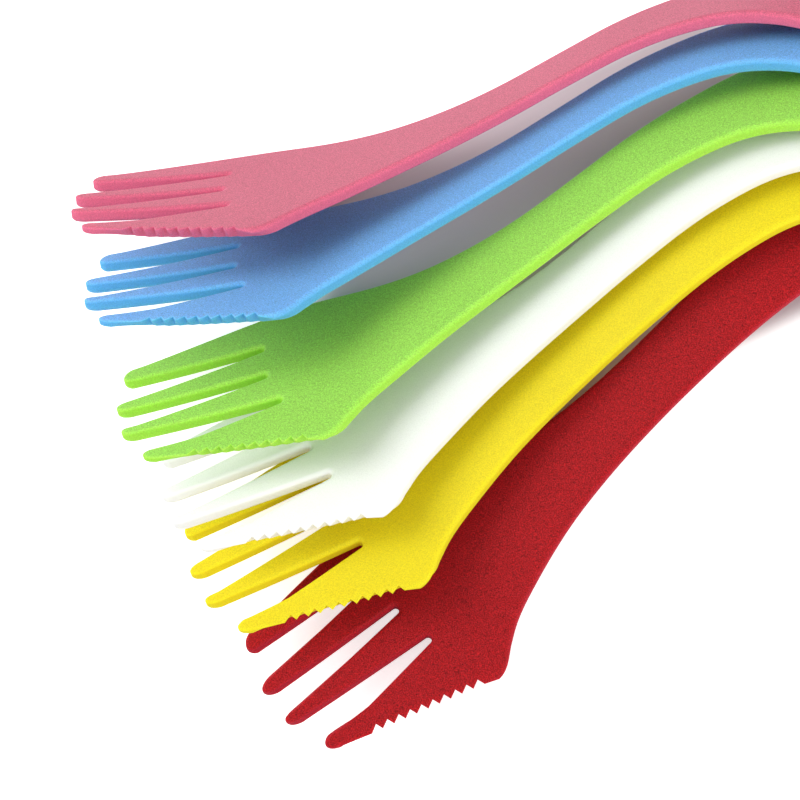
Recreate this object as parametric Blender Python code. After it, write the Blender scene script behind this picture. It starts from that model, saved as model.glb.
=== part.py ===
import bpy
import bmesh
import math
from mathutils import Euler, Matrix, Vector
from mathutils.bvhtree import BVHTree
from mathutils.geometry import interpolate_bezier

# A fanned pile of six equal moulded utensils: a four-tined fork with a serrated edge at one
# end, a down-facing spoon at the other, and an S-curved handle between them.
# Every size is in millimetres and every angle in degrees.

# The moulding. Only the serrated tine thins towards its tip.
thickness = 2.5
bladeThickness = 1.7
bladeTaperStart = 4.0
bladeTaperEnd = 14.0
edgeRound = 0.5

# Fork head in plan. x runs from the outer tine tips towards the spoon, y to the far side.
farTip = (0.6, 12.2)
secondTip = (-2.2, 3.8)
thirdTip = (-2.4, -3.5)
nearTip = (0.5, -12.0)
mouthX = 1.0
farMouthY = 8.1
middleMouthY = -0.2
nearMouthY = -8.0
farLipX = 2.2
nearLipX = 2.4
outerMouthWidth = 6.0
middleMouthWidth = 5.2
mouthDraft = 0.5
outerRootX = 28.3
middleRootX = 27.2
farRootY = 8.1
middleRootY = -0.1
nearRootY = -8.6
rootRadius = 0.55
farTineShoulder = (3.2, 14.6)
farBulge = (36.0, 17.4)
nearTineShoulder = (2.6, -13.85)
nearTineSwell = (11.5, -11.2)

# Serrated edge of the near tine. Its edge on the underside is shallower and stands further in.
plainEdgeEnd = (8.6, -15.8)
notchCount = 10
firstNotch = (10.3, -14.85)
lastNotch = (30.5, -20.75)
notchDepth = 1.3
toothTip = 0.38
toothRound = 0.2
underNotchDepth = 0.25
underToothTip = 0.41
underInset = 0.65
shoulder = (33.8, -23.2)
underShoulder = (34.6, -21.5)
shoulderEnd = (39.1, -20.25)
neckWaist = (41.4, 18.5)

# Handle and spoon in plan, as half-widths at stations along the moulding.
neckX = 51.6
neckHalf = 13.6
gripX = 66.6
gripHalf = 9.3
waistX = 97.0
waistHalf = 6.8
crestX = 126.0
crestHalf = 7.9
spoonStartX = 141.0
spoonStartHalf = 11.1
spoonX = 163.0
spoonHalf = 18.2
spoonTipX = 180.0
tipMargin = 2.0
shortestEdge = 0.05

# Side profile: each stretch has a length along the moulding and the angle it turns through.
headLength = 35.5
headTurn = 5.0
neckLength = 14.5
neckTurn = 9.0
riseLength = 42.0
riseTurn = 13.0
holdLength = 16.0
holdTurn = -1.0
crestLength = 29.0
crestTurn = -20.0
spoonLength = 24.0
spoonTurn = 0.0
noseLength = 25.0
noseTurn = -30.0

# Crosswise dome of the spoon.
domeStart = 128.0
domeFull = 165.0
domeDepth = 9.2
spoonCuts = (-0.66, -0.34, 0.0, 0.34, 0.66)

# Fan. Each piece is turned about the crest of its spoon, which has slid off the lowest spoon by
# shares of the spoon's half-width. It is settled until its fork end stands on the floor and its
# spoon end on the floor or the piece below. A piece that would stand off the one below by more
# than restGap is slid back towards it.
seatGap = 0.45
restGap = 0.9
slideStep = 1.0
searchStep = 1.0
pitchSearch = 3.0
pieces = (
    {"name": "red", "yaw": 40.0, "pitch": 12.2, "roll": -2.6, "slid": (0.0, 0.0)},
    {"name": "yellow", "yaw": 29.3, "pitch": 11.4, "roll": -17.9, "slid": (-0.1154, 0.3132)},
    {"name": "white", "yaw": 24.1, "pitch": 10.6, "roll": -26.3, "slid": (-0.1758, 0.6868)},
    {"name": "green", "yaw": 17.5, "pitch": 9.4, "roll": -33.9, "slid": (-0.3462, 0.9286)},
    {"name": "blue", "yaw": 9.3, "pitch": 8.6, "roll": -42.8, "slid": (-0.3791, 1.4011)},
    {"name": "pink", "yaw": 4.4, "pitch": 7.8, "roll": -47.7, "slid": (-0.3681, 1.7912)},
)

colours = {
    "red": (0.52, 0.012, 0.022),
    "yellow": (0.93, 0.74, 0.02),
    "white": (0.88, 0.89, 0.88),
    "green": (0.28, 0.62, 0.06),
    "blue": (0.10, 0.35, 0.78),
    "pink": (0.72, 0.13, 0.24),
}

profile = (
    (headLength, headTurn),
    (neckLength, neckTurn),
    (riseLength, riseTurn),
    (holdLength, holdTurn),
    (crestLength, crestTurn),
    (spoonLength, spoonTurn),
    (noseLength, noseTurn),
)


# Outline

def curve(start, startWay, end, endWay, steps):
    # Smooth edge between two points, without its last point.
    a = Vector(start).to_3d()
    b = Vector(end).to_3d()
    reach = (b - a).length / 3
    leave = a + Vector(startWay).to_3d().normalized() * reach
    arrive = b - Vector(endWay).to_3d().normalized() * reach
    return [p.to_2d() for p in interpolate_bezier(a, leave, arrive, b, steps + 1)][:-1]


def serration(under):
    # Notch roots and tooth tips, starting with the end of the plain edge before them.
    first = Vector(firstNotch)
    pitch = (Vector(lastNotch) - first) / (notchCount - 1)
    outward = Vector((pitch.y, -pitch.x)).normalized()
    tooth = pitch * toothTip + outward * notchDepth
    underTooth = pitch * underToothTip + outward * underNotchDepth
    plainEnd = Vector(plainEdgeEnd)
    if under:
        plainEnd += underTooth - tooth - outward * underInset
        first -= outward * underInset
        tooth = underTooth
    points = [plainEnd]
    for i in range(notchCount):
        points += [first + pitch * i, first + pitch * i + tooth]
    return points


def onTeeth(co):
    beyondTip = co.x > (nearTineShoulder[0] + plainEdgeEnd[0]) / 2
    beforeShoulder = co.x < (lastNotch[0] + shoulder[0]) / 2
    return beyondTip and beforeShoulder and co.y < (nearTineSwell[1] + firstNotch[1]) / 2


def handleSide():
    # Half-width line from the neck to the middle of the spoon's tip.
    points = curve((neckX, neckHalf), (1, -0.36), (gripX, gripHalf), (1, -0.19), 4)
    points += curve((gripX, gripHalf), (1, -0.19), (waistX, waistHalf), (1, 0), 5)
    points += curve((waistX, waistHalf), (1, 0), (crestX, crestHalf), (1, 0.09), 4)
    points += curve((crestX, crestHalf), (1, 0.09), (spoonStartX, spoonStartHalf), (1, 0.34), 4)
    points += curve((spoonStartX, spoonStartHalf), (1, 0.34), (spoonX, spoonHalf), (1, 0), 6)
    points += curve((spoonX, spoonHalf), (1, 0), (spoonTipX, 0), (0, -1), 8)
    return points


def tineTip(upper, tip, lower):
    points = curve(upper, (-1, -0.05), tip, (0, -1), 3)
    points += curve(tip, (0, -1), lower, (1, 0.05), 3)
    return points + [Vector(lower)]


def slotRoot(x, y):
    turns = [math.pi / 2 - i * math.pi / 4 for i in range(5)]
    return [Vector((x + math.cos(t) * rootRadius, y + math.sin(t) * rootRadius)) for t in turns]


def outline(under):
    # Plan of the moulding's top or underside, anticlockwise from the tip of the near tine.
    draft = mouthDraft if under else 0.0
    half = outerMouthWidth / 2 - draft
    middleHalf = middleMouthWidth / 2 - draft
    nearLip = (nearLipX, nearMouthY - half)
    points = curve(nearTip, (0, -1), nearTineShoulder, (1, -0.32), 3)
    points += [Vector(nearTineShoulder)] + serration(under)
    if under:
        points += curve(underShoulder, (1, -0.29), shoulderEnd, (1, 0.95), 4)
    else:
        points += curve(shoulder, (1, 0), shoulderEnd, (1, 0.95), 4)
    waist = (neckWaist[0], -neckWaist[1])
    points += curve(shoulderEnd, (1, 0.95), waist, (0.8, 0.6), 2)
    points += curve(waist, (0.8, 0.6), (neckX, -neckHalf), (1, 0.36), 4)
    side = handleSide()
    points += [Vector((p.x, -p.y)) for p in side]
    points.append(Vector((spoonTipX, 0)))
    points += reversed(side)
    points += reversed(curve(farBulge, (1, 0), (neckX, neckHalf), (1, -0.36), 5))
    points += reversed(curve(farTineShoulder, (1, 0.12), farBulge, (1, 0), 5)[1:])
    points += tineTip(farTineShoulder, farTip, (farLipX, farMouthY + half))
    points += slotRoot(outerRootX, farRootY)
    points += tineTip((mouthX, farMouthY - half), secondTip, (mouthX, middleMouthY + middleHalf))
    points += slotRoot(middleRootX, middleRootY)
    points += tineTip((mouthX, middleMouthY - middleHalf), thirdTip, (mouthX, nearMouthY + half))
    points += slotRoot(outerRootX, nearRootY)
    points += curve(nearTineSwell, (-1, 0), nearLip, (-1, 0), 2)
    points += curve(nearLip, (-1, 0), nearTip, (0, -1), 3)
    kept = []
    for p in points:
        if not kept or (p - kept[-1]).length > shortestEdge:
            kept.append(p)
    return kept


# Bending

def centreLine(distance):
    # Point and slope of the moulding's middle line at a distance from the tips.
    x = min(distance, 0.0)
    z = 0.0
    slope = 0.0
    left = max(distance, 0.0)
    for length, turn in profile:
        step = min(left, length)
        bendAngle = math.radians(turn) * step / length
        middle = slope + bendAngle / 2
        chord = step if abs(bendAngle) < 1e-6 else step * math.sin(bendAngle / 2) / (bendAngle / 2)
        x += chord * math.cos(middle)
        z += chord * math.sin(middle)
        slope += bendAngle
        left -= step
    return x + left * math.cos(slope), z + left * math.sin(slope), slope


def domeDrop(distance, y):
    share = min(max((distance - domeStart) / (domeFull - domeStart), 0.0), 1.0)
    return domeDepth * share * share * (3 - 2 * share) * (y / spoonHalf) ** 2


def thinning(distance, y):
    if y > nearRootY:
        return 1.0
    share = min(max((distance - bladeTaperStart) / (bladeTaperEnd - bladeTaperStart), 0.0), 1.0)
    thin = bladeThickness / thickness
    return thin + (1 - thin) * share * share * (3 - 2 * share)


def bent(co):
    x, z, slope = centreLine(co.x)
    rise = co.z * thinning(co.x, co.y) - domeDrop(co.x, co.y)
    return Vector((x - rise * math.sin(slope), co.y, z + rise * math.cos(slope)))


def spread(start, end, count):
    return [start + (end - start) * i / count for i in range(count)]


def crossCuts():
    # Places where the flat blank is cut across so that it can follow the bends.
    neckEnd = headLength + neckLength
    riseEnd = neckEnd + riseLength
    crestStart = riseEnd + holdLength
    crestEnd = crestStart + crestLength
    cuts = spread(bladeTaperStart, bladeTaperEnd, 3)
    cuts += spread(bladeTaperEnd, headLength, 3)
    cuts += spread(headLength, neckEnd, 4)
    cuts += spread(neckEnd, riseEnd, 6)
    cuts += spread(riseEnd, crestStart, 2)
    cuts += spread(crestStart, crestEnd, 8)
    cuts += spread(crestEnd, spoonTipX - tipMargin, 8)
    return cuts


def everything(bm):
    return bm.verts[:] + bm.edges[:] + bm.faces[:]


def cutAcross(bm, geom, co, no):
    bmesh.ops.bisect_plane(bm, geom=geom, dist=1e-4, plane_co=co, plane_no=no)


def side(bm, under):
    # Flat outline with its rim turned towards the other side, sharper along the teeth.
    face = bm.faces.new([bm.verts.new((p.x, p.y, 0)) for p in outline(under)])
    inset = bmesh.ops.inset_region(bm, faces=[face], thickness=edgeRound, use_even_offset=True, use_boundary=True)
    ring = inset["faces"]
    rim = {v for f in ring for e in f.edges if e.is_boundary for v in e.verts}
    for vert in rim:
        vert.co.z = -edgeRound
        if onTeeth(vert.co):
            inner = next(e.other_vert(vert) for e in vert.link_edges if not e.is_boundary)
            inner.co.xy = vert.co.xy.lerp(inner.co.xy, toothRound / edgeRound)
            vert.co.z = -toothRound
    return [face] + ring


def blank():
    # One utensil in its own frame: flat plate with rounded edges, cut and bent.
    bm = bmesh.new()
    side(bm, False)
    lower = set(side(bm, True))
    for vert in {v for f in lower for v in f.verts}:
        vert.co.z = -thickness - vert.co.z
    bmesh.ops.reverse_faces(bm, faces=list(lower))
    bmesh.ops.bridge_loops(bm, edges=[e for e in bm.edges if e.is_boundary])
    for x in crossCuts():
        cutAcross(bm, everything(bm), (x, 0, 0), (1, 0, 0))
    for share in spoonCuts:
        bowl = [f for f in bm.faces if min(v.co.x for v in f.verts) > crestX]
        geom = set(bowl)
        for face in bowl:
            geom.update(face.edges)
            geom.update(face.verts)
        cutAcross(bm, list(geom), (0, spoonHalf * share, 0), (0, 1, 0))
    for vert in bm.verts:
        vert.co = bent(vert.co)
    bmesh.ops.triangulate(bm, faces=bm.faces[:])
    bmesh.ops.recalc_face_normals(bm, faces=bm.faces[:])
    mesh = bpy.data.meshes.new("utensil")
    bm.to_mesh(mesh)
    bm.free()
    return mesh


# Placing

def turned(mesh, piece, pitch):
    # Points of one piece, turned about the crest of its spoon, which is left at height 0.
    x, z, slope = centreLine(spoonX)
    angles = (math.radians(piece["roll"]), math.radians(pitch), math.radians(piece["yaw"]))
    crest = Vector(piece["slid"]).to_3d() * spoonHalf
    place = Matrix.Translation(crest) @ Euler(angles, "XYZ").to_matrix().to_4x4()
    place = place @ Matrix.Translation((-x, 0, -z))
    return [place @ v.co for v in mesh.vertices]


def tree(points, faces, height):
    return BVHTree.FromPolygons([p + Vector((0, 0, height)) for p in points], faces)


def clearingHeight(points, faces, below, start):
    # Lowest height, coming down from the start, at which the piece clears the pieces below.
    def clear(height):
        mine = tree(points, faces, height)
        return not any(mine.overlap(other) for other in below)

    height = start
    while clear(height - searchStep) and height > start - searchStep * 60:
        height -= searchStep
    low = height - searchStep
    for _ in range(9):
        middle = (low + height) / 2
        if clear(middle):
            height = middle
        else:
            low = middle
    return height + seatGap


def settled(mesh, faces, piece, below):
    # The pitch is nudged until the fork end stands on the floor and the spoon end is carried
    # by the piece below it, or by the floor.
    headSide = [v.index for v in mesh.vertices if v.co.x < waistX]
    spoonSide = [v.index for v in mesh.vertices if v.co.x >= waistX]
    low = piece["pitch"] - pitchSearch
    high = piece["pitch"] + pitchSearch
    for _ in range(9):
        pitch = (low + high) / 2
        points = turned(mesh, piece, pitch)
        headLift = -min(points[i].z for i in headSide)
        spoonLift = -min(points[i].z for i in spoonSide)
        if below:
            carried = clearingHeight(points, faces, below, headLift + thickness * 3)
            spoonLift = max(spoonLift, carried)
        if spoonLift > headLift:
            high = pitch
        else:
            low = pitch
    height = max(headLift, spoonLift)
    return [p + Vector((0, 0, height)) for p in points]


def standOff(points, lowerPoints, faces):
    # Distance between two neighbours in the pile.
    mine = tree(points, faces, 0)
    lower = tree(lowerPoints, faces, 0)
    down = min(lower.find_nearest(p)[3] for p in points)
    up = min(mine.find_nearest(p)[3] for p in lowerPoints)
    return min(down, up)


def seated(mesh, faces, piece, below, lower):
    # Settles a piece, sliding it back towards the lower one while it stands off too far.
    points = settled(mesh, faces, piece, below)
    if lower:
        lowerSpot, lowerPoints = lower
        away = (Vector(lowerSpot) - Vector(piece["slid"])) * spoonHalf
        while away.length > slideStep and standOff(points, lowerPoints, faces) > restGap:
            step = away.normalized() * slideStep
            piece = {**piece, "slid": tuple(Vector(piece["slid"]) + step / spoonHalf)}
            away -= step
            points = settled(mesh, faces, piece, below)
    return piece["slid"], points


def material(name, colour):
    mat = bpy.data.materials.new(name)
    mat.use_nodes = True
    shader = mat.node_tree.nodes["Principled BSDF"]
    shader.inputs["Base Color"].default_value = (*colour, 1)
    shader.inputs["Roughness"].default_value = 0.5
    return mat


for old in list(bpy.data.objects):
    bpy.data.objects.remove(old, do_unlink=True)

utensil = blank()
faces = [tuple(p.vertices) for p in utensil.polygons]
below = []
placed = []
lower = None
for piece in pieces:
    lower = seated(utensil, faces, piece, below, lower)
    below.append(tree(lower[1], faces, 0))
    placed.append(lower[1])

every = [p for points in placed for p in points]
middleX = (min(p.x for p in every) + max(p.x for p in every)) / 2
middleY = (min(p.y for p in every) + max(p.y for p in every)) / 2
for piece, points in zip(pieces, placed):
    mesh = bpy.data.meshes.new("spork_" + piece["name"])
    metres = [((p.x - middleX) / 1000, (p.y - middleY) / 1000, p.z / 1000) for p in points]
    mesh.from_pydata(metres, [], faces)
    mesh.materials.append(material("spork_" + piece["name"], colours[piece["name"]]))
    body = bpy.data.objects.new("spork_" + piece["name"], mesh)
    bpy.context.scene.collection.objects.link(body)
bpy.data.meshes.remove(utensil)
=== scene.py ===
import math

import bmesh
import bpy
from mathutils import Euler, Matrix, Vector
from mathutils.geometry import interpolate_bezier


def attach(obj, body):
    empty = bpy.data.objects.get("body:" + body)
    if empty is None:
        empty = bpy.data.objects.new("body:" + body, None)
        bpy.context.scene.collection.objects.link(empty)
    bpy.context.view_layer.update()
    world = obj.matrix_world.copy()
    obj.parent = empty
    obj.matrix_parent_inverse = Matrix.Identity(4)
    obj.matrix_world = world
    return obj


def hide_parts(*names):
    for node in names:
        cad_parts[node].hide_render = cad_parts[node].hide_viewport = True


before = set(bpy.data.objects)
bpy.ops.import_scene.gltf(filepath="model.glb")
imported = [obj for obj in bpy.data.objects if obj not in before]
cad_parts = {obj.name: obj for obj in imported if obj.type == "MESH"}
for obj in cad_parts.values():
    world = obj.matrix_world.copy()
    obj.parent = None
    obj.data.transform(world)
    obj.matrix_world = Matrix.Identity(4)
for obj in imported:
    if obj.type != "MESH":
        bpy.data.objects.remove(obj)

scene = bpy.context.scene
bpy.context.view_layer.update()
print("frame loaded:", sorted(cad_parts))


# Shader maths as Python expressions

class Value:
    # A socket that carries a number, with the operators that the finishes use.
    def __init__(self, socket):
        self.socket = socket

    def join(self, operation, *terms):
        node = self.socket.node.id_data.nodes.new("ShaderNodeMath")
        node.operation = operation
        for slot, term in zip(node.inputs, terms):
            if isinstance(term, Value):
                node.id_data.links.new(term.socket, slot)
            else:
                slot.default_value = term
        return Value(node.outputs[0])

    def __add__(self, other):
        return self.join("ADD", self, other)

    def __radd__(self, other):
        return self.join("ADD", other, self)

    def __sub__(self, other):
        return self.join("SUBTRACT", self, other)

    def __rsub__(self, other):
        return self.join("SUBTRACT", other, self)

    def __mul__(self, other):
        return self.join("MULTIPLY", self, other)

    def __abs__(self):
        return self.join("ABSOLUTE", self)


class Finish:
    # A material and the one method that adds any other node to it.
    def __init__(self, name, tree=None):
        if tree is None:
            self.material = bpy.data.materials.new(name)
            self.material.use_nodes = True
            tree = self.material.node_tree
        self.tree = tree
        tree.nodes.clear()

    def node(self, kind, settings, inputs):
        node = self.tree.nodes.new(kind)
        for key, value in settings.items():
            setattr(node, key, value)
        for key, value in inputs.items():
            slot = node.inputs[key]
            if isinstance(value, Value):
                self.tree.links.new(value.socket, slot)
            elif isinstance(value, bpy.types.NodeSocket):
                self.tree.links.new(value, slot)
            else:
                slot.default_value = value
        return node


# The moulding, in millimetres and degrees: x runs from the tine tips to the spoon's tip

millimetre = 0.001                  # the scene is in metres

moulding = {
    "thickness": 2.5,
    "bladeThickness": 1.7,          # the serrated tine's tip
    "bladeTaper": (4.0, 14.0),
    "topRadius": (0.6, 1.0),        # edge radius at the tine tips and further on
    "underRadius": (1.1, 0.45),
    "radiusChange": (0.5, 6.0),     # where along the tines the radius changes
    "edgeRings": 6,
    "supportRing": 0.12,            # narrow flat ring that keeps the edge's shading off the flat
    "bends": (                      # length of each stretch and the angle it turns through
        (35.5, 5.0), (14.5, 9.0), (42.0, 13.0), (16.0, -1.0),
        (29.0, -20.0), (24.0, 0.0), (25.0, -30.0)),
    "dome": (128.0, 165.0, 9.2),    # start, full and depth of the spoon's crosswise dome
    "lengthCut": 1.5,
    "crossCut": 1.3,
    "domeGridStart": 122.0,
    "creaseAngle": 32.0,
    "fine": 3,                      # how much finer the curves are than in the solids
    "nearest": 0.02,                # outline points closer than this are joined
    "snap": 1e-4,                   # points this close to a cut lie on it
}

head = {
    "farTip": (0.6, 12.2),
    "secondTip": (-2.2, 3.8),
    "thirdTip": (-2.4, -3.5),
    "nearTip": (0.5, -12.0),
    "mouthX": 1.0,
    "farLipX": 2.2,
    "nearLipX": 2.4,
    "mouths": (8.1, -0.2, -8.0),
    "mouthWidths": (6.0, 5.2, 6.0),
    "mouthDraft": 0.5,              # the slots' mouths are narrower on the underside
    "rootX": (28.3, 27.2, 28.3),
    "rootY": (8.1, -0.1, -8.6),
    "rootRadius": 0.75,
    "rootSteps": 4,
    "lipLean": 0.05,                # slope of a tine's sides where its tip begins
    "farShoulder": (3.2, 14.6),
    "farShoulderWay": (1, 0.12),    # a way is the outline's direction at its point
    "farBulge": (36.0, 17.4),
    "nearShoulder": (2.6, -13.85),
    "nearShoulderWay": (1, -0.32),
    "nearSwell": (11.5, -11.2),
}

serrations = {
    "plainEnd": (8.6, -15.8),
    "count": 10,
    "first": (10.3, -14.85),
    "last": (30.5, -20.75),
    "depth": 1.3,
    "tip": 0.38,
    "round": 0.25,
    "underDepth": 0.25,             # the teeth are shallower and further in on the underside
    "underTip": 0.41,
    "underInset": 0.65,
    "shoulder": (33.8, -23.2),
    "shoulderWay": (1, 0),
    "underShoulder": (34.6, -21.5),
    "underShoulderWay": (1, -0.29),
    "shoulderEnd": (39.1, -20.25),
    "shoulderEndWay": (1, 0.95),
    "neck": (41.4, -18.5),
    "neckWay": (0.8, 0.6),
}

curveSteps = {"lip": 2, "tip": 3, "shoulder": 4, "flank": 5}   # as in the solids

handle = (                          # station, half-width and slope of the side, steps to the next
    (51.6, 13.6, -0.36, 4),
    (66.6, 9.3, -0.19, 5),
    (97.0, 6.8, 0.0, 4),
    (126.0, 7.9, 0.09, 4),
    (141.0, 11.1, 0.34, 6),
    (163.0, 18.2, 0.0, 8),
)
spoonTip = 180.0
spoonStation, spoonHalf = handle[-1][:2]


def curve(start, startWay, end, endWay, steps):
    a = Vector(start).to_3d()
    b = Vector(end).to_3d()
    reach = (b - a).length / 3
    leave = a + Vector(startWay).to_3d().normalized() * reach
    arrive = b - Vector(endWay).to_3d().normalized() * reach
    count = steps * moulding["fine"]
    return [p.to_2d() for p in interpolate_bezier(a, leave, arrive, b, count + 1)][:-1]


def sawTeeth(under):
    first = Vector(serrations["first"])
    pitch = (Vector(serrations["last"]) - first) / (serrations["count"] - 1)
    outward = Vector((pitch.y, -pitch.x)).normalized()
    tooth = pitch * serrations["tip"] + outward * serrations["depth"]
    underTooth = pitch * serrations["underTip"] + outward * serrations["underDepth"]
    plainEnd = Vector(serrations["plainEnd"])
    if under:
        plainEnd += underTooth - tooth - outward * serrations["underInset"]
        first -= outward * serrations["underInset"]
        tooth = underTooth
    points = [plainEnd]
    for i in range(serrations["count"]):
        points += [first + pitch * i, first + pitch * i + tooth]
    return points


def onTeeth(co):
    start = (head["nearShoulder"][0] + serrations["plainEnd"][0]) / 2
    end = (serrations["last"][0] + serrations["shoulder"][0]) / 2
    return start < co.x < end and co.y < (head["nearSwell"][1] + serrations["first"][1]) / 2


def handleSide():
    points = []
    for here, there in zip(handle, handle[1:]):
        points += curve(here[:2], (1, here[2]), there[:2], (1, there[2]), here[3])
    return points + curve((spoonStation, spoonHalf), (1, 0), (spoonTip, 0), (0, -1), handle[-1][3])


def tineTip(upper, tip, lower):
    lean = head["lipLean"]
    points = curve(upper, (-1, -lean), tip, (0, -1), curveSteps["tip"])
    points += curve(tip, (0, -1), lower, (1, lean), curveSteps["tip"])
    return points + [Vector(lower)]


def slotRoot(i):
    centre = Vector((head["rootX"][i], head["rootY"][i]))
    count = head["rootSteps"] * moulding["fine"]
    turns = [math.pi / 2 - k * math.pi / count for k in range(count + 1)]
    return [centre + Vector((math.cos(t), math.sin(t))) * head["rootRadius"] for t in turns]


def serratedSide(under):
    # From the near tine's tip along the notches and the shoulder to where the handle begins.
    kind = "underShoulder" if under else "shoulder"
    corner = serrations["shoulderEnd"]
    cornerWay = serrations["shoulderEndWay"]
    neck = serrations["neck"]
    neckWay = serrations["neckWay"]
    x, halfWidth, slope = handle[0][:3]
    shoulder = head["nearShoulder"]
    points = curve(head["nearTip"], (0, -1), shoulder, head["nearShoulderWay"], curveSteps["tip"])
    points += [Vector(shoulder)] + sawTeeth(under)
    points += curve(serrations[kind], serrations[kind + "Way"], corner, cornerWay, curveSteps["shoulder"])
    points += curve(corner, cornerWay, neck, neckWay, curveSteps["lip"])
    points += curve(neck, neckWay, (x, -halfWidth), (1, -slope), curveSteps["shoulder"])
    return points


def farSide():
    # From where the handle begins to the far tine.
    bulge = head["farBulge"]
    x, halfWidth, slope = handle[0][:3]
    points = curve(bulge, (1, 0), (x, halfWidth), (1, slope), curveSteps["flank"])[::-1]
    outer = curve(head["farShoulder"], head["farShoulderWay"], bulge, (1, 0), curveSteps["flank"])
    return points + outer[:0:-1]


def tines(under):
    # The far tine's tip, the slots and the middle tines, then the near tine's inner side and tip.
    draft = head["mouthDraft"] if under else 0.0
    far, middle, near = head["mouths"]
    farHalf, middleHalf, nearHalf = [w / 2 - draft for w in head["mouthWidths"]]
    x = head["mouthX"]
    nearLip = (head["nearLipX"], near - nearHalf)
    points = tineTip(head["farShoulder"], head["farTip"], (head["farLipX"], far + farHalf))
    points += slotRoot(0)
    points += tineTip((x, far - farHalf), head["secondTip"], (x, middle + middleHalf))
    points += slotRoot(1)
    points += tineTip((x, middle - middleHalf), head["thirdTip"], (x, near + nearHalf))
    points += slotRoot(2)
    points += curve(head["nearSwell"], (-1, 0), nearLip, (-1, 0), curveSteps["lip"])
    return points + curve(nearLip, (-1, 0), head["nearTip"], (0, -1), curveSteps["tip"])


def outline(under):
    side = handleSide()
    points = serratedSide(under)
    points += [Vector((p.x, -p.y)) for p in side]
    points.append(Vector((spoonTip, 0)))
    points += side[::-1]
    points += farSide() + tines(under)
    kept = []
    for p in points:
        if not kept or (p - kept[-1]).length > moulding["nearest"]:
            kept.append(p)
    return kept


def smoothStep(value, start, end):
    share = min(max((value - start) / (end - start), 0.0), 1.0)
    return share * share * (3 - 2 * share)


def centreLine(distance):
    x = min(distance, 0.0)
    z = 0.0
    slope = 0.0
    left = max(distance, 0.0)
    for length, turn in moulding["bends"]:
        step = min(left, length)
        angle = math.radians(turn) * step / length
        chord = step * math.sin(angle / 2) / (angle / 2) if angle else step
        x += chord * math.cos(slope + angle / 2)
        z += chord * math.sin(slope + angle / 2)
        slope += angle
        left -= step
    return x + left * math.cos(slope), z + left * math.sin(slope), slope


def bent(co):
    x, z, slope = centreLine(co.x)
    thin = 1.0
    if co.y < head["rootY"][2]:
        thin = moulding["bladeThickness"] / moulding["thickness"]
        thin += (1 - thin) * smoothStep(co.x, *moulding["bladeTaper"])
    start, full, depth = moulding["dome"]
    drop = depth * smoothStep(co.x, start, full) * (co.y / spoonHalf) ** 2
    rise = co.z * thin - drop
    return Vector((x - rise * math.sin(slope), co.y, z + rise * math.cos(slope)))


def everything(bm):
    return bm.verts[:] + bm.edges[:] + bm.faces[:]


def cut(bm, geom, co, no):
    bmesh.ops.bisect_plane(bm, geom=geom, dist=moulding["snap"], plane_co=co, plane_no=no)


def edgeRadius(co, under):
    if onTeeth(co):
        return serrations["round"]
    tip, plain = moulding["underRadius" if under else "topRadius"]
    return tip + (plain - tip) * smoothStep(co.x, *moulding["radiusChange"])


def rolledSide(bm, under, edgeLayer):
    # Flat outline whose rim is rolled over in rings.
    face = bm.faces.new([bm.verts.new((p.x, p.y, 0)) for p in outline(under)])
    skin = {face}
    wide = max(moulding["underRadius" if under else "topRadius"])
    for vert in face.verts:
        vert[edgeLayer] = 1.0
        vert.co.z = -edgeRadius(vert.co, under)
    turns = [math.pi / 2 * i / moulding["edgeRings"] for i in range(moulding["edgeRings"] + 1)]
    steps = [(math.cos(a) - math.cos(b), 1 - math.sin(b)) for a, b in zip(turns, turns[1:])]
    steps.append((moulding["supportRing"] / wide, 0.0))
    for step, drop in steps:
        rim = bmesh.ops.inset_region(
            bm, faces=[face], thickness=wide * step, use_even_offset=True, use_boundary=True)
        skin.update(rim["faces"])
        flat = set(face.edges)
        for vert in face.verts:
            old = next(e.other_vert(vert) for e in vert.link_edges if e not in flat)
            radius = edgeRadius(old.co, under)
            vert.co.xy = old.co.xy.lerp(vert.co.xy, radius / wide)
            vert.co.z = -radius * drop
            vert[edgeLayer] = drop
    return skin


def moulded():
    # One utensil: flat blank with rolled edges, cut across, then bent and domed.
    bm = bmesh.new()
    edgeLayer = bm.verts.layers.float.new("edge")
    rolledSide(bm, False, edgeLayer)
    lower = rolledSide(bm, True, edgeLayer)
    for vert in {v for f in lower for v in f.verts}:
        vert.co.z = -moulding["thickness"] - vert.co.z
    bmesh.ops.reverse_faces(bm, faces=list(lower))
    bmesh.ops.bridge_loops(bm, edges=[e for e in bm.edges if e.is_boundary])
    count = int(spoonTip / moulding["lengthCut"])
    for i in range(1, count):
        cut(bm, everything(bm), (i * moulding["lengthCut"], 0, 0), (1, 0, 0))
    lines = int(spoonHalf / moulding["crossCut"])
    for i in range(-lines, lines + 1):
        bowl = [f for f in bm.faces if min(v.co.x for v in f.verts) > moulding["domeGridStart"]]
        geom = {item for f in bowl for item in (f, *f.edges, *f.verts)}
        cut(bm, list(geom), (0, i * moulding["crossCut"], 0), (0, 1, 0))
    for vert in bm.verts:
        vert.co = bent(vert.co)
    bmesh.ops.triangulate(bm, faces=[f for f in bm.faces if len(f.verts) > 4])
    bmesh.ops.recalc_face_normals(bm, faces=bm.faces[:])
    crease = math.radians(moulding["creaseAngle"])
    for edge in bm.edges:
        edge.smooth = edge.calc_face_angle(0) < crease
    for face in bm.faces:
        face.smooth = True
    return bm


# The pile, in millimetres and degrees. Each utensil is turned about the crest of its spoon, which
# has slid off the lowest spoon by shares of the spoon's half-width. The middle angle and the height
# are those at which it comes to rest.

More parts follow.
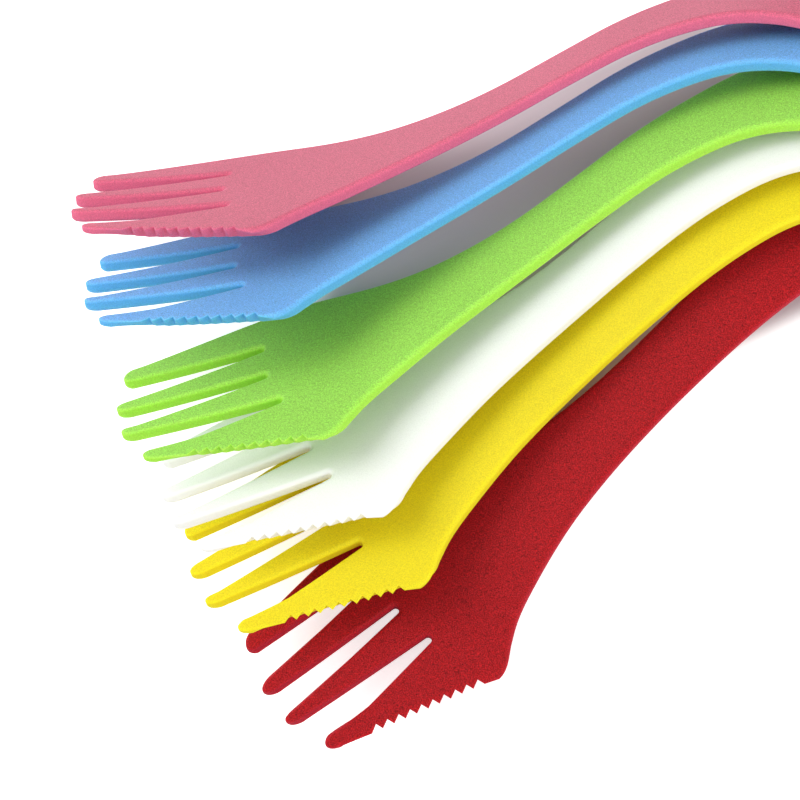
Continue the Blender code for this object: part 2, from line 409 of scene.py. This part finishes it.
pile = {
    "lowestCrest": (75.144, 37.962),
    "red": {"turn": (-2.6, 12.165, 40.0), "slid": (0.0, 0.0), "height": 12.341},
    "yellow": {"turn": (-17.9, 11.388, 29.3), "slid": (-0.1154, 0.3132), "height": 16.448},
    "white": {"turn": (-26.3, 10.541, 24.1), "slid": (-0.1758, 0.6868), "height": 18.533},
    "green": {"turn": (-33.9, 9.435, 17.5), "slid": (-0.3462, 0.9286), "height": 20.439},
    "blue": {"turn": (-42.8, 8.612, 9.3), "slid": (-0.3791, 1.4011), "height": 20.751},
    "pink": {"turn": (-47.7, 7.835, 4.4), "slid": (-0.3681, 1.7912), "height": 21.190},
}

# Colours of the flats and of the edges, strength of the grain, and how far light goes inside. The edge
# colours are painted light: more saturated, mostly brighter copies that the walls and rolled edges get
# for how the light falls on them

plastics = {
    "red": {
        "colour": (0.375, 0.009, 0.013), "edge": (0.420, 0.014, 0.030), "grain": 2.4,
        "scatter": (1.0, 0.10, 0.10), "specular": 0.12},
    "yellow": {
        "colour": (0.800, 0.670, 0.012), "edge": (0.850, 0.710, 0.014), "grain": 0.6,
        "scatter": (1.0, 0.75, 0.15), "specular": 0.2},
    "white": {
        "colour": (0.970, 0.975, 0.970), "edge": (0.990, 0.990, 0.985), "grain": 0.2,
        "scatter": (1.0, 0.98, 0.90), "specular": 0.3},
    "green": {
        "colour": (0.335, 0.680, 0.092), "edge": (0.400, 0.780, 0.072), "grain": 1.2,
        "scatter": (0.5, 1.0, 0.20), "specular": 0.3},
    "blue": {
        "colour": (0.170, 0.430, 0.815), "edge": (0.120, 0.455, 0.800), "grain": 1.2,
        "scatter": (0.2, 0.55, 1.0), "specular": 0.35},
    "pink": {
        "colour": (0.565, 0.118, 0.186), "edge": (0.720, 0.155, 0.265), "grain": 1.3,
        "scatter": (1.0, 0.30, 0.45), "specular": 0.3},
}

satin = {
    "seedStep": 0.37,               # moves the pattern on from one utensil to the next
    "grainScale": 4200.0,           # grains of about a quarter of a millimetre
    "grainDetail": 1.0,
    "cloudScale": 45.0,
    "cloudDetail": 2.0,
    "cloud": 0.10,
    "noiseMean": 0.5,
    "roughness": 0.56,
    "edgeRoughness": 0.2,           # added along the edges
    "edgeCalm": 0.6,                # share of the grain that the edges lose
    "paintedHighlight": 0.5,                   # painted highlight along the middle of the thin rounded edges
    "bumpStrength": 0.35,
    "bumpDistance": 0.00004,
    "subsurface": 0.45,
    "subsurfaceScale": 0.0030,
}


def satinPlastic(name, plastic, seed):
    finish = Finish(name)
    place = finish.node("ShaderNodeTexCoord", {}, {}).outputs["Object"]
    moved = finish.node("ShaderNodeMapping", {}, {"Vector": place, "Location": (seed, seed / 3, 0)})
    grain = finish.node("ShaderNodeTexNoise", {}, {
        "Vector": moved.outputs[0], "Scale": satin["grainScale"], "Detail": satin["grainDetail"]})
    cloud = finish.node("ShaderNodeTexNoise", {}, {
        "Vector": moved.outputs[0], "Scale": satin["cloudScale"], "Detail": satin["cloudDetail"]})
    edge = finish.node("ShaderNodeAttribute", {"attribute_name": "edge"}, {})
    grainValue = Value(grain.outputs["Fac"])
    cloudValue = Value(cloud.outputs["Fac"])
    edgeValue = Value(edge.outputs["Fac"])
    # Painted light: over the walls and rolled edges the flat colour gives way to the more saturated,
    # mostly brighter edge colour
    plain = finish.node("ShaderNodeMix", {"data_type": "RGBA"}, {
        "Factor": edgeValue, "A": (*plastic["colour"], 1), "B": (*plastic["edge"], 1)})
    calm = 1.0 - edgeValue * satin["edgeCalm"]
    speckle = (grainValue - satin["noiseMean"]) * plastic["grain"] * calm
    shading = (cloudValue - satin["noiseMean"]) * satin["cloud"]
    # Painted highlight: the base colour is lightened along the middle of each rolled edge
    paintedHighlight = edgeValue * (1.0 - edgeValue) * satin["paintedHighlight"]
    tone = 1.0 + speckle + paintedHighlight + shading
    base = finish.node("ShaderNodeVectorMath", {"operation": "SCALE"}, {
        "Vector": plain.outputs["Result"], "Scale": tone})
    bump = finish.node("ShaderNodeBump", {}, {
        "Strength": satin["bumpStrength"], "Distance": satin["bumpDistance"], "Height": grainValue})
    shader = finish.node("ShaderNodeBsdfPrincipled", {}, {
        "Base Color": base.outputs["Vector"],
        "Roughness": satin["roughness"] + edgeValue * satin["edgeRoughness"],
        "Normal": bump.outputs["Normal"],
        "Specular IOR Level": plastic["specular"],
        "Subsurface Weight": satin["subsurface"],
        "Subsurface Radius": plastic["scatter"],
        "Subsurface Scale": satin["subsurfaceScale"],
    })
    finish.node("ShaderNodeOutputMaterial", {}, {"Surface": shader.outputs[0]})
    return finish.material


utensil = moulded()
crestX, crestZ = centreLine(spoonStation)[:2]
for number, name in enumerate(plastics):
    piece = pile[name]
    turn = Euler([math.radians(a) for a in piece["turn"]], "XYZ").to_matrix().to_4x4()
    crest = Vector(pile["lowestCrest"]) + Vector(piece["slid"]) * spoonHalf
    crest = Vector((*crest, piece["height"]))
    place = Matrix.Scale(millimetre, 4) @ Matrix.Translation(crest) @ turn
    place = place @ Matrix.Translation((-crestX, 0, -crestZ))
    mesh = bpy.data.meshes.new("moulded_spork_" + name)
    utensil.to_mesh(mesh)
    mesh.transform(place)
    seed = number * satin["seedStep"]
    mesh.materials.append(satinPlastic(name + "_satin_plastic", plastics[name], seed))
    spork = bpy.data.objects.new("moulded_spork_" + name, mesh)
    scene.collection.objects.link(spork)
    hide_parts("spork_" + name)
    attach(spork, "root")
print("six utensils,", len(utensil.faces), "faces each")
utensil.free()


# Floor, light and camera

studio = {
    "floorSize": 3.0,
    "floorDrop": 0.00002,           # keeps the floor just below the pile
    "floorColour": (0.98, 0.98, 0.98, 1),
    "floorLift": 0.62,              # light that the camera sees on top of the lit floor
    "shadeColour": (0.69, 0.59, 0.62, 1),   # floor that it sees below the raised handles
    "shadeCentre": (0.0073, 0.0246, 0.0),
    "shadeTurn": (0.0, 0.0, math.radians(24.0)),
    "shadeStart": (-0.060, -0.040),
    "shadeEnd": (0.044, 0.054),
    "shadeSide": (0.030, 0.036),
    "domeStrength": 0.63,
    "keyPower": 3.0,
    "keySize": 0.5,
    "keyPlace": (-0.49, 0.20, 0.55),
    "fillPower": 1.8,
    "fillSize": 0.5,
    "fillPlace": (0.50, -0.22, 0.40),
}


def seenRay(finish):
    path = finish.node("ShaderNodeLightPath", {}, {})
    seen = Value(path.outputs["Is Camera Ray"]) + Value(path.outputs["Is Glossy Ray"])
    return seen + Value(path.outputs["Is Transmission Ray"])


def fade(finish, value, reach, ends):
    ramp = finish.node("ShaderNodeMapRange", {"interpolation_type": "SMOOTHSTEP"}, {
        "Value": value, "From Min": reach[0], "From Max": reach[1], "To Min": ends[0], "To Max": ends[1]})
    return Value(ramp.outputs["Result"])


def paleFloor():
    finish = Finish("pale_floor")
    place = finish.node("ShaderNodeTexCoord", {}, {}).outputs["Object"]
    turned = finish.node("ShaderNodeMapping", {"vector_type": "TEXTURE"}, {
        "Vector": place, "Location": studio["shadeCentre"], "Rotation": studio["shadeTurn"]})
    parts = finish.node("ShaderNodeSeparateXYZ", {}, {"Vector": turned.outputs[0]})
    along = Value(parts.outputs["X"])
    across = abs(Value(parts.outputs["Y"]))
    inside = fade(finish, along, studio["shadeStart"], (0.0, 1.0))
    inside = inside * fade(finish, along, studio["shadeEnd"], (1.0, 0.0))
    inside = inside * fade(finish, across, studio["shadeSide"], (1.0, 0.0))
    camera = Value(finish.node("ShaderNodeLightPath", {}, {}).outputs["Is Camera Ray"])
    lit = finish.node("ShaderNodeBsdfDiffuse", {}, {"Color": studio["floorColour"]})
    shade = finish.node("ShaderNodeBsdfDiffuse", {}, {"Color": studio["shadeColour"]})
    lift = finish.node("ShaderNodeEmission", {}, {"Color": (1.0 - inside) * studio["floorLift"]})
    lifted = finish.node("ShaderNodeAddShader", {}, {0: lit.outputs[0], 1: lift.outputs[0]})
    seenFloor = finish.node("ShaderNodeMixShader", {}, {
        0: seenRay(finish), 1: lit.outputs[0], 2: lifted.outputs[0]})
    both = finish.node("ShaderNodeMixShader", {}, {
        0: inside * camera, 1: seenFloor.outputs[0], 2: shade.outputs[0]})
    finish.node("ShaderNodeOutputMaterial", {}, {"Surface": both.outputs[0]})
    return finish.material


bm = bmesh.new()
bmesh.ops.create_grid(bm, x_segments=1, y_segments=1, size=studio["floorSize"] / 2)
bmesh.ops.translate(bm, verts=bm.verts, vec=(0, 0, -studio["floorDrop"]))
floorMesh = bpy.data.meshes.new("floor")
bm.to_mesh(floorMesh)
bm.free()
floorMesh.materials.append(paleFloor())
floor = bpy.data.objects.new("floor", floorMesh)
scene.collection.objects.link(floor)

world = bpy.data.worlds.new("studio")
world.use_nodes = True
scene.world = world
sky = Finish("studio", world.node_tree)
around = sky.node("ShaderNodeBackground", {}, {"Color": (1, 1, 1, 1), "Strength": studio["domeStrength"]})
white = sky.node("ShaderNodeBackground", {}, {"Color": (1, 1, 1, 1), "Strength": 1.0})
both = sky.node("ShaderNodeMixShader", {}, {0: seenRay(sky), 1: around.outputs[0], 2: white.outputs[0]})
sky.node("ShaderNodeOutputWorld", {}, {"Surface": both.outputs[0]})


def softLamp(name, power, size, place):
    data = bpy.data.lights.new(name, "AREA")
    data.energy = power
    data.size = size
    lamp = bpy.data.objects.new(name, data)
    lamp.location = place
    lamp.rotation_euler = (-Vector(place)).to_track_quat("-Z", "Y").to_euler()
    scene.collection.objects.link(lamp)


softLamp("key", studio["keyPower"], studio["keySize"], studio["keyPlace"])
softLamp("fill", studio["fillPower"], studio["fillSize"], studio["fillPlace"])

shot = {
    "place": (0.01817, -0.09515, 0.35877),
    "turn": (13.743, 7.061, 0.023),
    "lens": 83.24,                  # for a 36 mm wide picture
    "clipStart": 0.01,
}
camera = bpy.data.objects.new("camera", bpy.data.cameras.new("camera"))
camera.data.lens = shot["lens"]
camera.data.clip_start = shot["clipStart"]
camera.location = shot["place"]
camera.rotation_euler = [math.radians(a) for a in shot["turn"]]
scene.collection.objects.link(camera)
scene.camera = camera
scene.view_settings.view_transform = "Standard"
print("floor, light and camera set")
